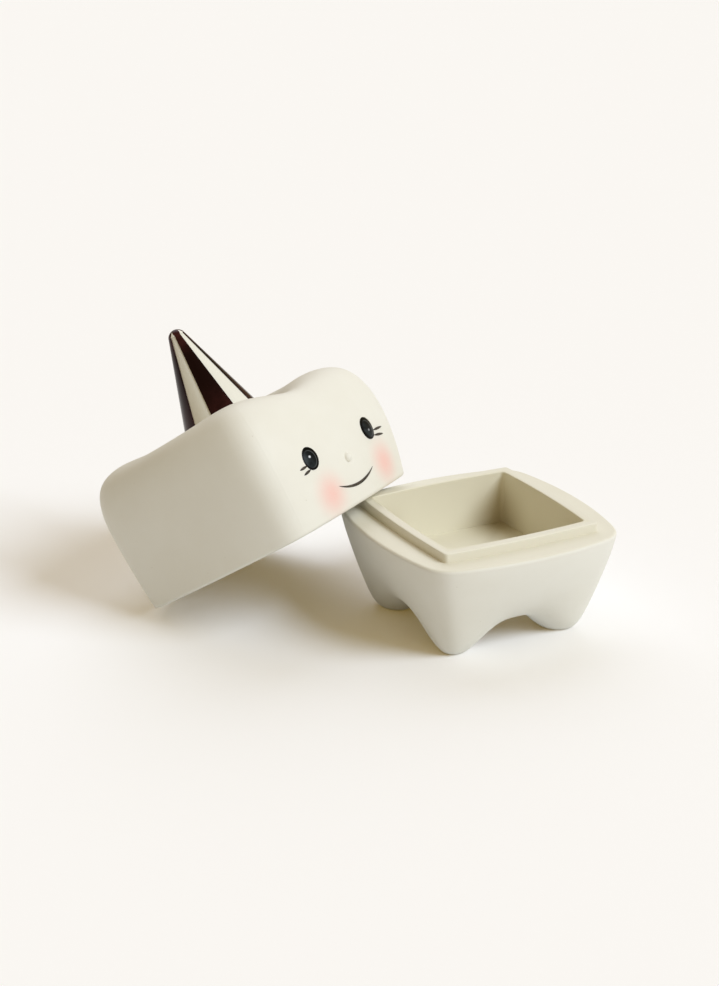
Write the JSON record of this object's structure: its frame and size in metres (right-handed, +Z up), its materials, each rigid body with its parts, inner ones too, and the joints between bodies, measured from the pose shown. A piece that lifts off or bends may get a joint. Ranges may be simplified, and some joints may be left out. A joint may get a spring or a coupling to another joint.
{
  "type": "baby tooth box",
  "caption": "Keepsake box shaped as a molar: a square box on rounded roots with a raised rim, and a loose hollow crown lid with a striped horn and an inlaid face, lying against the box.",
  "frame": {"origin": "on the floor, in the middle of the ground that box and lid cover as they lie", "axes": "+Z up; the box's walls are square to X and Y, and -Y is the side that the lid's face looks to when the box is shut"},
  "size_m": [0.1276, 0.1234, 0.0785],
  "materials": {
    "bisque": "matte",
    "horn_white": "satin",
    "horn_dark": "gloss",
    "eye_enamel": "gloss",
    "line_enamel": "satin"
  },
  "bodies": {
    "base": {"base_box": "bisque"},
    "nose": {"nose_bead": "bisque"},
    "lid": {"lid_crown": "bisque", "horn_core": "horn_white", "horn_tip": "horn_dark", "horn_strip_1": "horn_dark", "horn_strip_2": "horn_dark", "horn_strip_3": "horn_dark", "horn_strip_4": "horn_dark", "horn_strip_5": "horn_dark", "left_eye": "eye_enamel", "right_eye": "eye_enamel", "left_lash_1": "line_enamel", "left_lash_2": "line_enamel", "right_lash_1": "line_enamel", "right_lash_2": "line_enamel", "smile": "line_enamel"}
  },
  "joints": [
    {"name": "lid_carry", "type": "hinge", "parent": "base", "child": "nose", "pos_m": [0.0289, -0.02627, 0.04388], "axis": [0.8441, 0.5362, -0.0024], "range_deg": [0, 169.65]},
    {"name": "lid_level", "type": "hinge", "parent": "nose", "child": "lid", "pos_m": [-0.00397, -0.0103, 0.04952], "axis": [-0.658, -0.7501, 0.0665], "range_deg": [0, 138.22]}
  ],
  "couplings": [
    {"joint": "lid_level", "follows": "lid_carry", "ratio": 0.81469}
  ]
}
